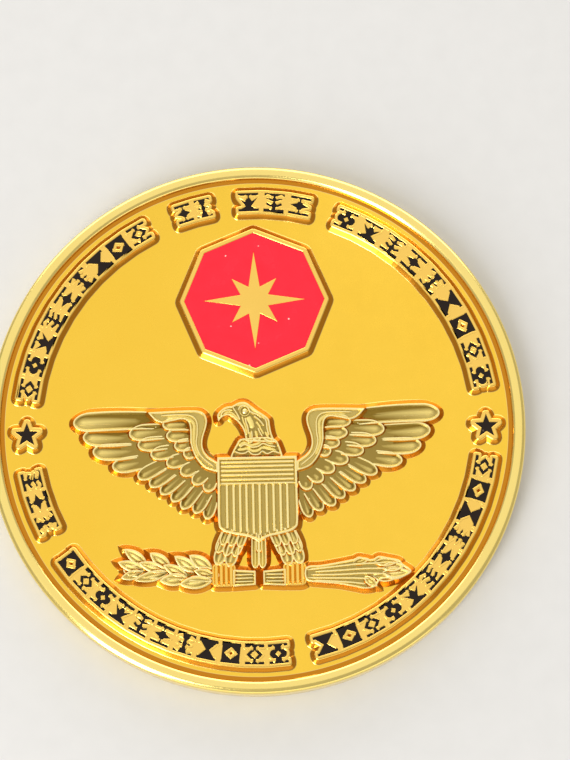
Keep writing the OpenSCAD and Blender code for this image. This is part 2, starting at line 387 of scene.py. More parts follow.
def cell_outlines(node):
    """The closed outlines of an enamel piece, in order, with the enamel on the left-hand side."""
    bm = bmesh.new()
    bm.from_mesh(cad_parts[node].data)
    bmesh.ops.remove_doubles(bm, verts=bm.verts, dist=0.0008 * MM)
    top = max(v.co.z for v in bm.verts)
    faces = [
        f for f in bm.faces
        if f.normal.z > 0.9 and abs(f.calc_center_median().z - top) < 0.001 * MM]
    follow = {}
    for face in faces:
        for loop in face.loops:
            if sum(f in faces for f in loop.edge.link_faces) == 1:
                follow[loop.vert] = loop.link_loop_next.vert
    outlines = []
    while follow:
        start, at = follow.popitem()
        outline = [start.co.xy.copy()]
        while at != start:
            outline.append(at.co.xy.copy())
            at = follow.pop(at)
        outlines.append(outline)
    bm.free()
    return outlines


def frames_round(outline, step=radians(24)):
    """A point and an outward direction at every turn of a closed outline, with a fan at each corner."""
    count = len(outline)
    normals = []
    for i in range(count):
        along = (outline[(i + 1) % count] - outline[i]).normalized()
        normals.append(Vector((along.y, -along.x)))
    frames = []
    for i in range(count):
        before, after = normals[i - 1], normals[i]
        turn = atan2(before.cross(after), before.dot(after))
        steps = max(1, ceil(abs(turn) / step))
        if abs(turn) < radians(1):
            frames.append((outline[i], after))
            continue
        for k in range(steps + 1):
            frames.append((outline[i], Matrix.Rotation(turn * k / steps, 2) @ before))
    return frames


def extrude_to(bm, verts, edges, places, slots):
    """Extrudes a chain of edges, each new vertex to its place; returns the new vertices and edges."""
    rank = {v: i for i, v in enumerate(verts)}
    made = bmesh.ops.extrude_edge_only(bm, edges=edges)["geom"]
    new_verts = [None] * len(verts)
    for item in made:
        if isinstance(item, bmesh.types.BMVert):
            for edge in item.link_edges:
                other = edge.other_vert(item)
                if other in rank:
                    new_verts[rank[other]] = item
                    item.co = places[rank[other]]
    new_edges = []
    for i, edge in enumerate(edges):
        a, b = (new_verts[rank[v]] for v in edge.verts)
        new_edge = bm.edges.get((a, b))
        new_edges.append(new_edge)
        for face in new_edge.link_faces:
            face.material_index = slots[i]
    return new_verts, new_edges


def add_part(whole, part):
    """Moves a small finished bmesh into a bigger one."""
    carrier = bpy.data.meshes.new("carrier")
    part.to_mesh(carrier)
    part.free()
    whole.from_mesh(carrier)
    bpy.data.meshes.remove(carrier)


def moulding(whole, outline, section):
    """Sweeps a closed section of (distance outwards, height, finish) round an outline."""
    bm = bmesh.new()
    frames = frames_round(outline)

    def places(at):
        point, out = at
        return [Vector((*(point + out * d), z)) for d, z, _ in section]

    verts = [bm.verts.new(p) for p in places(frames[0])]
    edges = [bm.edges.new(pair) for pair in zip(verts, verts[1:] + verts[:1])]
    slots = [s for _, _, s in section]
    for at in frames[1:] + frames[:1]:
        verts, edges = extrude_to(bm, verts, edges, places(at), slots)
    bmesh.ops.remove_doubles(bm, verts=bm.verts, dist=MERGE)
    add_part(whole, bm)


def pad_section(line, run):
    """Section of a pad's edge: cell lip, rounded gold line of the given width, wall and foot."""
    top = PAD_Z
    return [
        (0.02 * MM, FOOT_Z, WALL),
        (-0.01 * MM, ENAMEL_Z + 0.012 * MM, EDGE),
        (0.02 * MM, top - 0.006 * MM, EDGE),
        (0.05 * MM, top, EDGE),
        (line - 0.03 * MM, top - 0.002 * MM, EDGE),
        (line + 0.02 * MM, top - 0.022 * MM, EDGE),
        (line + 0.06 * MM, top - 0.06 * MM, WALL),
        (line + run - 0.07 * MM, FIELD_Z + 0.045 * MM, WALL),
        (line + run + 0.02 * MM, FIELD_Z + 0.008 * MM, WALL),
        (line + run + 0.07 * MM, FOOT_Z, WALL),
    ]


def plate(bm, outline, low, high, top_slot, side_slot, round_edge=0.0):
    """A flat-topped plate with the given outline and a small rounded edge."""
    verts = [bm.verts.new((*p, low)) for p in outline]
    base = bm.faces.new(verts)
    base.material_index = side_slot
    made = bmesh.ops.extrude_face_region(bm, geom=[base], use_keep_orig=True)["geom"]
    top = next(g for g in made if isinstance(g, bmesh.types.BMFace))
    for vert in top.verts:
        vert.co.z = high
    for vert in verts:
        for face in vert.link_faces:
            if face is not base:
                face.material_index = side_slot
    top.material_index = top_slot
    if round_edge:
        bmesh.ops.bevel(
            bm, geom=list(top.edges), offset=round_edge, affect="EDGES",
            segments=2, profile=0.5, material=-1)


def middle(outline):
    return sum(outline, Vector((0, 0))) / len(outline)


def corner(outline, side, level):
    """Where an outline reaches farthest to a side (1 is clockwise) and a level (1 is outwards)."""
    out = middle(outline).normalized()
    towards = side * Vector((out.y, -out.x)) + level * out
    return max(range(len(outline)), key=lambda i: outline[i].dot(towards))


def stretch(outline, first, last):
    """The points of a closed outline from one index round to another."""
    count = len(outline)
    return [outline[(first + k) % count] for k in range((last - first) % count + 1)]


def bridge(whole, before, after):
    """Fills the pad between two neighbouring cells; the second one lies clockwise of the first."""
    right = stretch(before, corner(before, 1, -1), corner(before, 1, 1))
    left = stretch(after, corner(after, -1, 1), corner(after, -1, -1))
    lap = (middle(before) + middle(after)).normalized() * 0.1 * MM
    bm = bmesh.new()
    outline = (
        right[::-1] + [right[0] - lap, left[-1] - lap]
        + left[::-1] + [left[0] + lap, right[-1] + lap])
    plate(bm, outline, FOOT_Z, PAD_Z - 0.010 * MM, EDGE, EDGE)
    add_part(whole, bm)


def pads(cells):
    """Groups the cells that share a pad; each group runs clockwise."""
    groups = [[cells[0]]]
    for cell in cells[1:]:
        last = groups[-1][-1]
        pair = (last, cell) if middle(last).cross(middle(cell)) < 0 else (cell, last)
        gap = pair[0][corner(pair[0], 1, -1)] - pair[1][corner(pair[1], -1, -1)]
        if gap.length < GAP_IN_PAD:
            groups[-1].append(cell)
        else:
            groups.append([cell])
    return [g if middle(g[0]).cross(middle(g[-1])) < 0 else g[::-1] for g in groups]


def pad_outline(cells):
    """The outline round all the cells of one pad, straight across the gaps between them."""
    outline = []
    for cell in cells:
        outline += [cell[corner(cell, -1, -1)], cell[corner(cell, 1, -1)]]
    last, first = cells[-1], cells[0]
    outline += stretch(last, corner(last, 1, -1), corner(last, 1, 1))[1:-1]
    for cell in reversed(cells):
        outline += [cell[corner(cell, 1, 1)], cell[corner(cell, -1, 1)]]
    return outline + stretch(first, corner(first, -1, 1), corner(first, -1, -1))[1:-1]


def make_border():
    """Round each cell runs a lip hidden in its pad, and round each pad a full edge with its wall."""
    lip = pad_section(0.17 * MM, 0.10 * MM)
    full_edge = pad_section(BORDER_LINE, PAD_RUN)
    bm = bmesh.new()
    cells = []
    for node in sorted(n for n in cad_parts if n.startswith("border_enamel")):
        outlines = cell_outlines(node)
        outlines.sort(key=lambda o: -max((p - o[0]).length for p in o))
        cells.append(outlines[0])
        moulding(bm, outlines[0], lip)
        for island in outlines[1:]:
            moulding(bm, island, full_edge)
    for group in pads(cells):
        moulding(bm, pad_outline(group), full_edge)
        for before, after in zip(group, group[1:]):
            bridge(bm, before, after)
    finish_mesh(bm, "border_pads")


def make_star_pads():
    bm = bmesh.new()
    for node in ("left_star_enamel", "right_star_enamel"):
        for outline in cell_outlines(node):
            moulding(bm, outline, pad_section(STAR_LINE, PAD_RUN))
    finish_mesh(bm, "star_pads")


make_border()
make_star_pads()


# ---- Badge frame and compass star ------------------------------------------------------------
# An eight-sided frame round the red cell, and a plain compass star left standing inside it, level with the
# frame. Both are struck with the blank and polished.

BADGE_LINE = 0.31 * MM
BADGE_RUN = 0.44 * MM


def make_badge():
    bm = bmesh.new()
    frame_outline, star_outline = sorted(cell_outlines("badge_enamel"), key=lambda o: -max(p.x for p in o))
    moulding(bm, frame_outline, pad_section(BADGE_LINE, BADGE_RUN))
    finish_mesh(bm, "badge_frame")
    bm = bmesh.new()
    plate(bm, star_outline[::-1], FOOT_Z, PAD_Z - 0.004 * MM, EDGE, EDGE, 0.03 * MM)
    finish_mesh(bm, "badge_star")


make_badge()


# ---- Eagle: how its parts are raised ---------------------------------------------------------
# The eagle is sculpted in low relief on the same blank. Every feather has an outline in the cream crest gold,
# a painted highlight, a blasted hollow darkened low down as painted shade, and a low spine, and its outer
# wall slopes down to the field.

CREST_Z = PAD_Z


def smooth_step(t):
    t = min(1, max(0, t))
    return t * t * (3 - 2 * t)


def feather_rows(length, width, grow):
    """Half a feather's outline as (length along, half width): near-parallel sides and a round end."""
    half = width / 2 + grow
    nose = min(0.9 * width, 0.6 * length) * half / (width / 2)
    start, end = -grow, length + grow - nose
    rows = []
    side_steps, turns = 5, 8
    for i in range(side_steps + 1):
        u = start + (end - start) * i / side_steps
        rows.append((u, half * (0.9 + 0.1 * smooth_step((u - start) / (0.6 * length)))))
    for i in range(1, turns):
        a = pi / 2 * i / turns
        rows.append((end + nose * sin(a), half * cos(a)))
    return rows + [(end + nose, 0)]


def leaf_rows(length, width, grow):
    """Half a leaf's outline, pointed at both ends."""
    half = width / 2 + grow
    start, end = -1.7 * grow, length + 1.7 * grow
    steps = 12
    rows = [(start, 0)]
    for i in range(1, steps):
        rows.append((start + (end - start) * i / steps, half * sin(pi * i / steps) ** 0.8))
    return rows + [(end, 0)]


def feather(whole, root, tip, width, bend, sink, lean, top=CREST_Z, rows_of=feather_rows, vein=False):
    """A feather or leaf, all in millimetres but for top: sink lower at its root, lean lower on its left.

    Its very root tucks under its neighbours, and vein lays a thin ridge along it.
    """
    root, tip = Vector(root) * MM, Vector(tip) * MM
    width, bend, sink, lean = (value * MM for value in (width, bend, sink, lean))
    half = width / 2
    fine = min(1, width / (0.9 * MM))
    hollow = min(0.24 * MM * fine, 0.7 * half)
    along = (tip - root).normalized()
    across = Vector((-along.y, along.x))
    length = (tip - root).length
    bm = bmesh.new()

    def ring(grow, lower):
        rows = rows_of(length, width, grow)
        outline = [(u, -h) for u, h in rows] + [(u, h) for u, h in reversed(rows) if h > 0]
        points = []
        for u, v in outline:
            t = min(1, max(0, u / length))
            side = min(1, max(-1, v / half))
            tuck = 0.14 * MM * max(0, 1 - t / 0.18)
            level = top - lower - sink * (1 - t) - tuck - lean * (side + 1) / 2
            at = root + along * u + across * (v + bend * 4 * t * (1 - t))
            points.append(Vector((*at, level)))
        return points

    foot = [Vector((p.x, p.y, FOOT_Z)) for p in ring(0.45 * MM, 0)]
    verts = [bm.verts.new(p) for p in foot]
    edges = [bm.edges.new(pair) for pair in zip(verts, verts[1:] + verts[:1])]
    bm.faces.new(verts).material_index = WALL
    for grow, lower, slot in (
            (0.05 * MM, 0.045 * MM, WALL),
            (0.03 * MM, 0.012 * MM, CREST),
            (-0.01 * MM, 0.0, CREST),
            (-0.08 * MM * fine, 0.004 * MM, CREST),
            (-0.13 * MM * fine, 0.060 * MM, GROUND),
            (-hollow, 0.115 * MM, GROUND),
            (-(hollow + half) / 2, 0.080 * MM, GROUND),
            (-(half - 0.03 * MM), 0.040 * MM, GROUND)):
        verts, edges = extrude_to(bm, verts, edges, ring(grow, lower), [slot] * len(edges))
    bm.faces.new(verts).material_index = GROUND
    add_part(whole, bm)
    if vein:
        level = top - 0.045 * MM - (sink + lean) / 2
        path = [(root + (tip - root) * t) / MM for t in (0.1, 0.5, 0.9)]
        ridge(whole, path, 0.09, level - 0.05 * MM, level + 0.02 * MM)


def ridge(whole, path, width, low, high, slot=CREST, ends=0.3):
    """A rounded bar along a path in millimetres, narrower at its ends."""
    path = [Vector(p) * MM for p in path]
    half = width / 2 * MM
    count = len(path)
    profile = [(-1, 0), (-0.85, 0.65), (-0.5, 1), (0.5, 1), (0.85, 0.65), (1, 0)]
    bm = bmesh.new()

    def section(i):
        along = (path[min(count - 1, i + 1)] - path[max(0, i - 1)]).normalized()
        across = Vector((-along.y, along.x))
        share = ends if i in (0, count - 1) else 1
        return [
            Vector((*(path[i] + across * half * share * a), low + (high - low) * h * (0.4 + 0.6 * share)))
            for a, h in profile]

    verts = [bm.verts.new(p) for p in section(0)]
    edges = [bm.edges.new(pair) for pair in zip(verts, verts[1:] + verts[:1])]
    bm.faces.new(verts).material_index = slot
    for i in range(1, count):
        verts, edges = extrude_to(bm, verts, edges, section(i), [slot] * len(edges))
    bm.faces.new(verts).material_index = slot
    add_part(whole, bm)


def curve_through(points, closed=False, parts=4):
    """A smooth line through listed points; a point given twice makes a corner."""
    points = [Vector(p) for p in points]
    count = len(points)
    line = []
    for i in range(count if closed else count - 1):
        p0, p1, p2, p3 = (
            points[(i + k) % count] if closed else points[min(count - 1, max(0, i + k))]
            for k in (-1, 0, 1, 2))
        if p1 == p2:
            continue
        m1 = (p2 - p0) / 2
        m2 = (p3 - p1) / 2
        for k in range(parts):
            t = k / parts
            line.append(
                p1 * (2 * t ** 3 - 3 * t ** 2 + 1) + m1 * (t ** 3 - 2 * t ** 2 + t)
                + p2 * (-2 * t ** 3 + 3 * t ** 2) + m2 * (t ** 3 - t ** 2))
    return line if closed else line + [points[-1]]


def raised_panel(whole, points, line=0.10, drop=0.12, top=CREST_Z, floor_slot=GROUND, crest_slot=CREST):
    """A closed outline in millimetres with its line, its walls and the sunk floor inside it.

    By default the line takes the cream crest gold, a painted highlight, and the floor the eagle ground,
    darkened low down as painted shade.
    """
    outline = [p * MM for p in curve_through(points, closed=True)]
    if sum(a.cross(b) for a, b in zip(outline, outline[1:] + outline[:1])) < 0:
        outline.reverse()
    line, drop = line * MM, drop * MM
    moulding(whole, outline, [
        (0.38 * MM, FOOT_Z, WALL),
        (-line - 0.08 * MM, top - drop - 0.03 * MM, GROUND),
        (-line - 0.07 * MM, top - drop, GROUND),
        (-line - 0.02 * MM, top - 0.06 * MM, crest_slot),
        (-line + 0.03 * MM, top - 0.004 * MM, crest_slot),
        (-0.01 * MM, top, crest_slot),
        (0.03 * MM, top - 0.012 * MM, crest_slot),
        (0.05 * MM, top - 0.045 * MM, WALL),
        (0.40 * MM, FIELD_Z + 0.03 * MM, WALL),
        (0.47 * MM, FOOT_Z, WALL),
    ])
    bm = bmesh.new()
    plate(bm, outline, FOOT_Z, top - drop, floor_slot, WALL)
    add_part(whole, bm)


def mirror_part(bm):
    """Turns a part of the right-hand side into its left-hand match."""
    bmesh.ops.scale(bm, vec=(-1, 1, 1), verts=bm.verts)
    bmesh.ops.reverse_faces(bm, faces=bm.faces)


# ---- Eagle: wings ----------------------------------------------------------------------------
# Each wing has a leading band over the shoulder, three tiers of feathers and long primaries at the end.
# Feathers nearer the leading edge lie over their neighbours, and each tier lies over the roots of the next.

# Root, tip, width and bow in millimetres from the coin's centre, for the right-hand wing
PRIMARIES = [
    ((8.3, 0.42), (15.10, 0.62), 1.42, 0.10), ((10.0, -0.95), (14.30, -0.82), 1.10, -0.05),
    ((9.6, -2.02), (13.50, -2.08), 1.05, -0.08), ((9.2, -2.95), (11.90, -3.38), 0.98, -0.05),
]
SECONDARIES = [
    ((7.8, -3.30), (9.80, -4.35), 0.86, 0.0), ((7.0, -3.85), (8.85, -5.05), 0.82, 0.0),
    ((6.3, -4.35), (7.95, -5.72), 0.80, 0.0), ((5.6, -4.85), (7.05, -6.35), 0.80, 0.0),
    ((4.9, -5.30), (6.25, -6.98), 0.80, 0.0), ((4.2, -5.75), (5.20, -7.38), 0.78, 0.0),
    ((3.7, -6.30), (4.25, -7.90), 0.72, 0.0),
]
MIDDLE_TIER = [
    ((7.4, -0.50), (10.50, -0.70), 1.05, 0.05), ((7.2, -1.42), (9.80, -1.65), 0.92, 0.0),
    ((6.8, -2.12), (8.75, -2.50), 0.90, 0.0), ((6.0, -2.80), (7.45, -3.30), 0.88, 0.0),
    ((5.1, -3.45), (6.30, -4.10), 0.86, 0.0), ((4.3, -4.05), (5.30, -4.95), 0.84, 0.0),
    ((3.7, -4.60), (4.25, -5.60), 0.80, 0.0),
]
INNER_TIER = [
    ((5.5, 0.02), (7.75, 0.02), 0.80, 0.05), ((5.5, -0.85), (7.45, -0.92), 0.86, 0.0),
    ((5.4, -1.62), (6.80, -1.80), 0.80, 0.0), ((5.2, -2.30), (6.05, -2.52), 0.75, 0.0),
]
SHOULDER = [
    (8.9, 1.05), (8.9, 1.05), (7.0, 1.12), (5.2, 1.14), (4.45, 0.95), (4.15, 0.45), (4.2, -0.2),
    (4.5, -1.2), (4.5, -2.0), (4.1, -2.7), (3.3, -3.25), (3.3, -3.25), (3.3, -3.98), (3.3, -3.98),
    (4.3, -3.62), (5.0, -2.8), (5.42, -1.6), (5.45, -0.4), (5.62, 0.25), (6.1, 0.5), (7.0, 0.36),
    (7.8, 0.22), (8.4, 0.5),
]
SHOULDER_FOLD = [
    (7.9, 0.78), (6.4, 0.84), (5.4, 0.72), (4.95, 0.2), (4.92, -0.8), (5.0, -1.7), (4.6, -2.7),
    (3.6, -3.55),
]
SHOULDER_HOLLOW = [
    (7.4, 0.62), (6.3, 0.66), (5.7, 0.52), (5.2, 0.1), (5.18, -0.8), (5.22, -1.7), (4.8, -2.7),
]
WING_GROUND = [
    (3.2, -3.2), (5.2, -1.0), (7.6, -0.2), (11.4, -0.8), (11.0, -3.3), (7.4, -5.0), (4.0, -7.4),
    (3.2, -7.8),
]


def make_wing(name, droop):
    """The right-hand wing, or its match; droop lowers the ends of its long feathers, in millimetres."""
    bm = bmesh.new()
    for tier, lower, sink, hidden in (
            (SECONDARIES, 0.025, 0.07, 0.14), (PRIMARIES, 0.0, 0.09, 0),
            (MIDDLE_TIER, 0.0, 0.10, 0), (INNER_TIER, 0.0, 0.07, 0)):
        for root, tip, width, bow in tier:
            fall = droop * max(0, tip[0] - 9) / 6
            longest = tip[0] > 15
            end = (tip[0], tip[1] - (fall if longest else 0.3 * fall))
            wide = 1.05 * width if longest else 1.32 * width
            full_width = wide + (0.3 * fall if longest else 0)
            start = [root[k] - hidden * (tip[k] - root[k]) for k in (0, 1)]
            feather(bm, start, end, full_width, bow, sink, 0.08, CREST_Z - lower * MM)
            if tier is PRIMARIES:
                inner = [root[k] + (end[k] - root[k]) * 0.55 for k in (0, 1)]
                shaft = [(inner[0], inner[1] - 0.12 * wide), (end[0] - 0.45, end[1] - 0.12 * wide + 0.04)]
                ridge(bm, shaft, 0.10, CREST_Z - 0.12 * MM, CREST_Z - 0.045 * MM)
    ground = bmesh.new()
    outline = [Vector(p) * MM for p in reversed(WING_GROUND)]
    plate(ground, outline, FOOT_Z, CREST_Z - 0.17 * MM, GROUND, WALL)
    add_part(bm, ground)
    raised_panel(bm, SHOULDER, drop=0.135)
    ridge(bm, curve_through(SHOULDER_FOLD), 0.17, CREST_Z - 0.15 * MM, CREST_Z - 0.01 * MM)
    ridge(bm, curve_through(SHOULDER_HOLLOW), 0.30, CREST_Z - 0.15 * MM, CREST_Z - 0.09 * MM, GROUND)
    if name == "eagle_left_wing":
        mirror_part(bm)
    finish_mesh(bm, name)


make_wing("eagle_right_wing", 0.0)
make_wing("eagle_left_wing", 0.32)


# ---- Eagle: head and neck --------------------------------------------------------------------
# The head is turned to the viewer's left, with a hooked beak, a domed eye in its socket, and rows of short
# feathers that run down the neck to the top of the shield.

HEAD = [
    (-1.35, 1.75), (-1.75, 1.58), (-2.00, 1.44), (-2.00, 1.44), (-2.5, 1.38), (-2.95, 1.08), (-3.20, 0.72),
    (-3.13, 0.28), (-3.13, 0.28), (-2.92, 0.55), (-2.50, 0.76), (-2.1, 0.67), (-1.6, 0.25), (-1.22, -0.25),
    (-0.98, -0.80), (-0.88, -1.45), (-0.88, -1.45), (1.45, -1.6), (1.45, -1.6), (1.18, -0.9), (1.05, -0.2),
    (0.98, 0.28), (0.58, 0.66), (0.0, 1.06), (-0.50, 1.46), (-0.9, 1.74),
]
COLLAR = [
    (-0.9, -1.30), (-1.4, -1.38), (-1.70, -1.85), (-1.98, -2.35), (-2.2, -2.90), (-2.2, -2.90), (2.08, -2.90),
    (2.08, -2.90), (1.85, -2.1), (1.5, -1.45), (0.6, -1.2),
]
FACE_LINES = [
    [(-1.98, 1.42), (-1.75, 1.05), (-1.53, 0.68), (-1.38, 0.32)],
    [(-2.98, 0.62), (-2.80, 0.98), (-2.40, 1.16), (-1.98, 1.12)],
    [(-1.50, 1.12), (-1.36, 1.40), (-1.05, 1.52), (-0.72, 1.36), (-0.58, 1.05), (-0.30, 0.86), (0.10, 0.70),
     (0.42, 0.40)],
    [(-0.25, 0.64), (0.05, 0.42), (0.34, 0.12), (0.58, -0.22)],
    [(0.62, 0.50), (0.80, 0.08), (0.84, -0.42), (0.98, -1.05)],
    [(0.10, -0.36), (0.22, -0.72), (0.46, -1.14)],
    [(-0.44, -0.62), (-0.40, -1.00), (-0.42, -1.36)],
    [(-0.95, 0.50), (-0.88, 0.10), (-0.74, -0.35), (-0.68, -0.90)],
]
# Soft folds between the lines, as width and path
FACE_FOLDS = [
    (0.50, (-0.72, 0.60), (-0.58, 0.30), (-0.44, 0.0), (-0.36, -0.42)),
    (0.24, (-2.72, 0.80), (-2.42, 0.98), (-2.05, 0.92), (-1.72, 0.62), (-1.45, 0.22)),
    (0.26, (-1.62, 1.52), (-1.10, 1.66), (-0.62, 1.42), (-0.20, 1.04), (0.36, 0.70), (0.78, 0.26)),
    (0.20, (-1.18, 0.62), (-1.10, 0.20), (-0.92, -0.30), (-0.82, -0.95)),
    (0.22, (-0.06, 0.14), (0.14, -0.10), (0.30, -0.42), (0.56, -0.95)),
    (0.20, (1.00, 0.00), (1.02, -0.55), (1.20, -1.20)),
    (0.22, (-0.56, -0.72), (-0.56, -1.00), (-0.58, -1.36)),
    (0.26, (-0.10, -0.62), (-0.06, -0.92), (0.02, -1.24)),
    (0.24, (0.70, -0.72), (0.82, -1.02), (1.02, -1.32)),
    (0.30, (-1.50, -1.88), (-1.15, -1.62), (-0.80, -1.70), (-0.55, -1.84), (0.0, -1.72), (0.5, -1.50),
     (1.35, -1.78)),
    (0.28, (-1.62, -2.20), (-1.10, -2.14), (-0.75, -2.10), (-0.40, -2.30), (0.1, -2.26), (0.5, -2.04),
     (1.6, -2.30)),
]
NECK_LINES = [
    [(-1.52, -1.58), (-1.15, -1.32), (-0.86, -1.42), (-0.60, -1.62), (-0.38, -1.52), (-0.22, -1.36),
     (0.02, -1.46), (0.22, -1.36), (0.46, -1.22), (0.90, -1.48), (1.46, -1.56)],
    [(-1.45, -2.02), (-1.05, -1.78), (-0.75, -1.88), (-0.38, -2.02), (0.10, -1.94), (0.50, -1.72),
     (0.95, -1.90), (1.60, -2.02)],
    [(-1.90, -2.32), (-1.45, -2.50), (-1.00, -2.50), (-0.72, -2.34), (-0.42, -2.60), (0.10, -2.62),
     (0.42, -2.36), (0.82, -2.58), (1.35, -2.40), (1.92, -2.60)],
]


def make_head():
    bm = bmesh.new()
    raised_panel(bm, COLLAR, drop=0.15, top=CREST_Z - 0.02 * MM)
    raised_panel(bm, HEAD, drop=0.16)
    for line in FACE_LINES + NECK_LINES:
        ridge(bm, curve_through(line), 0.19, CREST_Z - 0.19 * MM, CREST_Z - 0.002 * MM)
    for fold in FACE_FOLDS:
        ridge(bm, curve_through(fold[1:]), fold[0], CREST_Z - 0.19 * MM, CREST_Z - 0.07 * MM, GROUND, 0.4)
    eye = Vector((-0.97, 1.03)) * MM
    socket = [eye + 0.36 * MM * Vector((cos(a * pi / 12), sin(a * pi / 12))) for a in range(24)]
    moulding(bm, socket, [
        (-0.02 * MM, CREST_Z - 0.16 * MM, GROUND), (0.01 * MM, CREST_Z - 0.05 * MM, GROUND),
        (0.06 * MM, CREST_Z - 0.05 * MM, GROUND), (0.10 * MM, CREST_Z - 0.16 * MM, GROUND)])
    dome = bmesh.new()
    bmesh.ops.create_uvsphere(dome, u_segments=24, v_segments=12, radius=0.24 * MM, matrix=(
        Matrix.Translation((*eye, CREST_Z - 0.14 * MM)) @ Matrix.Diagonal((1, 1, 0.58, 1))))
    # The eye dome takes the cream crest gold, a painted highlight
    for face in dome.faces:
        face.material_index = CREST
    add_part(bm, dome)
    finish_mesh(bm, "eagle_head")


make_head()


# ---- Eagle: shield ---------------------------------------------------------------------------
# The shield on the breast has a raised border, a chief of level bars and a lower part of upright bars. All
# the bars are rounded and take the cream crest gold, a painted highlight, with blasted grooves between them
# that are darkened low down as painted shade.

SHIELD = [
    (-3.25, -2.85), (-3.25, -2.85), (3.2, -2.85), (3.2, -2.85), (3.2, -5.5), (3.2, -8.15), (2.95, -8.8),
    (2.2, -9.12), (0.8, -9.42), (0.0, -9.85), (0.0, -9.85), (-0.8, -9.42), (-2.2, -9.12), (-3.0, -8.8),
    (-3.25, -8.15), (-3.25, -5.5),
]
CHIEF_BARS = [-3.24, -3.58, -3.94, -4.31, -4.69]
UPRIGHT_BARS = [-2.55, -2.0, -1.47, -0.95, -0.40, 0.13, 0.70, 1.27, 1.84, 2.40]


def make_shield():
    bm = bmesh.new()
    low, high = CREST_Z - 0.15 * MM, CREST_Z - 0.01 * MM
    raised_panel(bm, SHIELD, line=0.15, drop=0.15)
    for y in CHIEF_BARS:
        ridge(bm, [(-3.02, y), (-2.9, y), (2.85, y), (2.97, y)], 0.24, low, high, ends=0.8)
    ridge(bm, [(-3.1, -5.02), (-2.9, -5.02), (2.85, -5.02), (3.05, -5.02)], 0.22, low, high)
    for x in UPRIGHT_BARS:
        foot = -9.02 - max(0, 0.32 * (1 - abs(x) / 0.9)) + max(0, abs(x) - 1.9) * 0.45
        ridge(bm, [(x, -5.10), (x, -5.25), (x, foot + 0.1), (x, foot)], 0.30, low, high, ends=0.8)
    finish_mesh(bm, "eagle_shield")


make_shield()


# ---- Eagle: legs, feet and tail --------------------------------------------------------------
# Below the shield hang two feathered thighs and the tail. Each foot closes its claws round what it holds,
# and the cut ends of the stems and shafts show between the feet.

THIGH = [
    ((1.9, -9.6), (2.45, -11.85), 0.95), ((2.7, -9.5), (3.42, -11.70), 0.95),
    ((1.2, -9.0), (2.02, -11.0), 0.72), ((1.9, -9.0), (2.75, -10.95), 0.74),
    ((2.6, -8.8), (3.38, -10.70), 0.70), ((1.0, -8.6), (1.62, -10.25), 0.66),
    ((1.7, -8.6), (2.32, -10.15), 0.66), ((2.4, -8.5), (3.00, -10.05), 0.66),
]
TAIL = [
    ((-0.30, -9.0), (-0.32, -12.0), 0.56), ((0.28, -9.0), (0.28, -12.0), 0.56),
    ((0.0, -9.0), (0.0, -10.7), 0.46),
]
STUB = [
    (0.35, -12.28), (0.35, -12.28), (2.1, -12.15), (2.1, -12.15), (2.1, -13.45), (2.1, -13.45),
    (0.35, -13.35), (0.35, -13.35),
]
PALM = [
    (2.05, -11.75), (2.9, -11.6), (3.70, -11.75), (3.78, -12.6), (3.70, -13.35), (2.9, -13.45),
    (2.1, -13.35), (2.0, -12.6),
]


def make_leg(name):
    bm = bmesh.new()
    for root, tip, width in THIGH:
        feather(bm, root, tip, width, 0, 0.10, 0.04)
    raised_panel(bm, STUB, drop=0.12, top=CREST_Z - 0.05 * MM)
    for y in (-12.55, -12.83, -13.11):
        stem = [(0.5, y + 0.02), (0.62, y + 0.02), (1.9, y), (2.05, y)]
        ridge(bm, stem, 0.17, CREST_Z - 0.18 * MM, CREST_Z - 0.06 * MM)
    raised_panel(bm, PALM, drop=0.08, top=CREST_Z - 0.05 * MM, floor_slot=WALL, crest_slot=EDGE)
    for x in (2.30, 2.70, 3.10, 3.50):
        claw = [(x, -11.62), (x, -11.85), (x, -13.2), (x, -13.5)]
        ridge(bm, claw, 0.36, CREST_Z - 0.16 * MM, CREST_Z, EDGE, 0.5)
    if name == "eagle_left_leg":
        mirror_part(bm)
    finish_mesh(bm, name)


def make_tail():
    bm = bmesh.new()
    for root, tip, width in TAIL:
        feather(bm, root, tip, width, 0, 0.06, 0.0)
    finish_mesh(bm, "eagle_tail")


make_leg("eagle_right_leg")
make_leg("eagle_left_leg")
make_tail()


# ---- Laurel sprig ----------------------------------------------------------------------------
# The foot on the left holds a sprig of laurel: three ranks of pointed leaves, each with a bright outline in
# the cream crest gold (a painted highlight), a hollow blasted blade darkened low down as painted shade and a
# thin vein, and a berry at the end.

LEAVES = [
    ((-9.10, -11.55), (-10.95, -10.30), 0.86), ((-7.20, -11.85), (-8.85, -10.65), 0.92),
    ((-5.05, -12.25), (-6.85, -10.95), 0.92), ((-3.80, -12.10), (-5.65, -10.90), 0.98),
    ((-9.4, -12.15), (-11.20, -12.62), 0.72), ((-7.3, -12.20), (-10.10, -12.82), 0.80),
    ((-5.75, -12.75), (-8.05, -12.90), 0.98), ((-3.8, -12.95), (-6.45, -13.22), 1.02),
    ((-9.3, -12.00), (-11.45, -11.35), 0.82), ((-7.5, -12.15), (-9.75, -11.42), 0.80),
    ((-5.85, -12.55), (-7.75, -11.65), 0.80), ((-3.6, -12.62), (-5.25, -12.15), 0.66),
]
STEM = [(-3.7, -12.0), (-7.0, -11.7), (-10.6, -11.6), (-10.6, -12.4), (-7.0, -12.8), (-3.7, -13.0)]


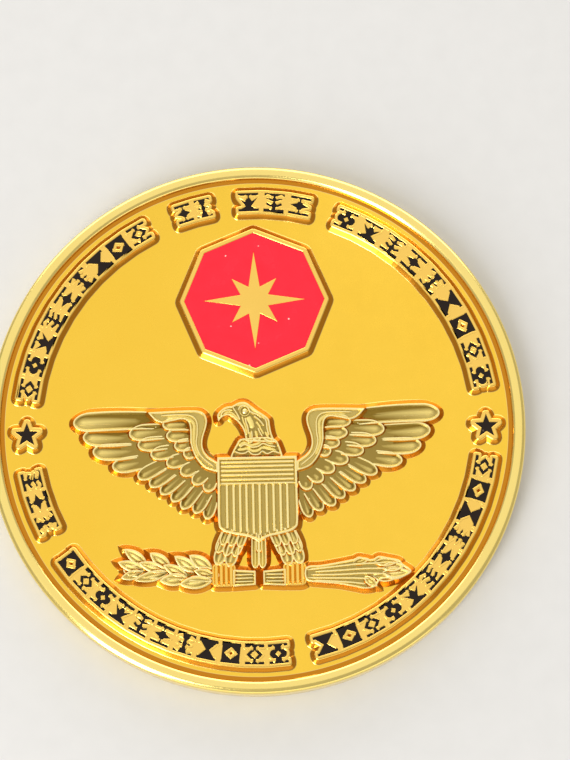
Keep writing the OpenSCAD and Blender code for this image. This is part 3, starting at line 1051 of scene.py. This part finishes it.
def make_sprig():
    bm = bmesh.new()
    for root, tip, width in LEAVES:
        feather(bm, root, tip, width, 0.0, 0.05, 0.04, rows_of=leaf_rows, vein=True)
    raised_panel(bm, STEM, drop=0.06, top=CREST_Z - 0.12 * MM)
    berry = Matrix.Translation((-11.02 * MM, -10.42 * MM, CREST_Z - 0.22 * MM))
    bmesh.ops.create_uvsphere(bm, u_segments=24, v_segments=12, radius=0.22 * MM, matrix=berry)
    finish_mesh(bm, "laurel_sprig")


make_sprig()


# ---- Arrows ----------------------------------------------------------------------------------
# The foot on the right holds a bundle of arrows: rounded shafts side by side, with leaf-shaped heads that fan
# out towards the rim.

BUNDLE = [
    (3.85, -12.05), (5.0, -11.93), (6.5, -11.70), (7.7, -11.48), (8.15, -11.30), (8.9, -11.52),
    (9.35, -11.48), (9.75, -11.28), (10.5, -11.42), (11.35, -11.62), (11.65, -11.95), (12.15, -12.30),
    (12.3, -12.60), (11.7, -12.95), (11.1, -13.15), (10.3, -13.05), (9.75, -13.20), (9.35, -13.72),
    (8.6, -13.85), (7.8, -13.70), (6.4, -13.42), (5.0, -13.28), (3.85, -13.05),
]
SHAFTS = [
    [(3.9, -12.25), (5.6, -12.08), (8.0, -11.86), (10.2, -11.80)],
    [(4.5, -12.42), (6.5, -12.34), (8.5, -12.24), (10.4, -12.26)],
    [(4.2, -12.66), (6.5, -12.68), (8.5, -12.62), (10.3, -12.70)],
    [(3.9, -12.90), (6.0, -12.96), (7.8, -13.00), (8.9, -13.08)],
    [(4.4, -13.12), (6.2, -13.24), (7.6, -13.36), (8.6, -13.50)],
]
HEADS = [
    ((8.5, -12.90), (9.50, -13.66), 0.60), ((9.2, -12.85), (10.9, -13.15), 0.62),
    ((9.9, -12.65), (12.25, -12.62), 0.80), ((9.9, -12.15), (11.75, -12.10), 0.72),
    ((9.3, -11.75), (11.30, -11.72), 0.60), ((7.6, -11.75), (8.9, -11.48), 0.45),
]


def make_arrows():
    bm = bmesh.new()
    raised_panel(bm, BUNDLE, line=0.10, drop=0.13, top=CREST_Z - 0.02 * MM)
    for shaft in SHAFTS:
        ridge(bm, curve_through(shaft), 0.20, CREST_Z - 0.15 * MM, CREST_Z - 0.02 * MM)
    for root, tip, width in HEADS:
        feather(bm, root, tip, width, 0, 0.02, 0.03, rows_of=leaf_rows, vein=width > 0.6)
    finish_mesh(bm, "arrow_bundle")


make_arrows()


# ---- Reverse laurel ring ---------------------------------------------------------------------
# The reverse has a ring of laurel leaves in pairs between the rim and the plain disc. They stand as high as
# the disc, just below the rim, so that the coin rests on its rim.

LEAF_PAIRS = 28
RING_R = 16.2


def make_wreath():
    """The leaves are laid on the front and the whole ring is then turned over to the back."""
    bm = bmesh.new()
    for i in range(LEAF_PAIRS):
        turn = Matrix.Rotation(2 * pi * i / LEAF_PAIRS, 2)
        for side in (-1, 1):
            root = turn @ Vector((-(RING_R + side * 0.2), 0))
            tip = turn @ Vector((-(RING_R + side * 1.5), 2.5))
            feather(bm, root, tip, 1.0, 0.0, 0.03, 0.0, rows_of=leaf_rows, vein=True)
    bmesh.ops.rotate(bm, cent=(0, 0, COIN_T / 2), matrix=Matrix.Rotation(pi, 3, "Y"), verts=bm.verts)
    finish_mesh(bm, "reverse_wreath")


make_wreath()


# ---- Enamel ----------------------------------------------------------------------------------
# Hard enamel is filled into the cells, cured and stoned level. It keeps the shape that its cell gives it,
# so the pieces are the frame's own. The red shows a few specks of trapped air and the black is slightly warm.

def enamel(name, deep, light, speck):
    finish = Finish(name, Roughness=0.22, Specular_IOR_Level=0.12)
    cloud = finish.noise(1.6 * MM, 3)
    spots = finish.node("ShaderNodeTexVoronoi", {}, {"Vector": finish.place(), "Scale": 1 / (0.9 * MM)})
    sparse = finish.noise(2.3 * MM, 1)
    dot = finish.span(spots, 0.10, 0.06) * (sparse > 0.56)
    colour = finish.mix(cloud, deep, light)
    finish.set(
        Base_Color=finish.mix(dot, colour, speck),
        Roughness=0.20 + cloud * 0.12,
        Normal=finish.bump(finish.noise(0.35 * MM, 3), 0.0012 * MM),
    )
    return finish.material


RED = enamel("red_enamel", (0.96, 0.018, 0.034, 1), (1.0, 0.028, 0.050, 1), (1.0, 0.55, 0.5, 1))
BLACK = enamel("black_enamel", (0.011, 0.007, 0.005, 1), (0.022, 0.014, 0.009, 1), (0.10, 0.07, 0.05, 1))

for node_name, node_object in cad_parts.items():
    if node_name != "coin_body":
        node_object.data.materials.clear()
        node_object.data.materials.append(RED if node_name == "badge_enamel" else BLACK)
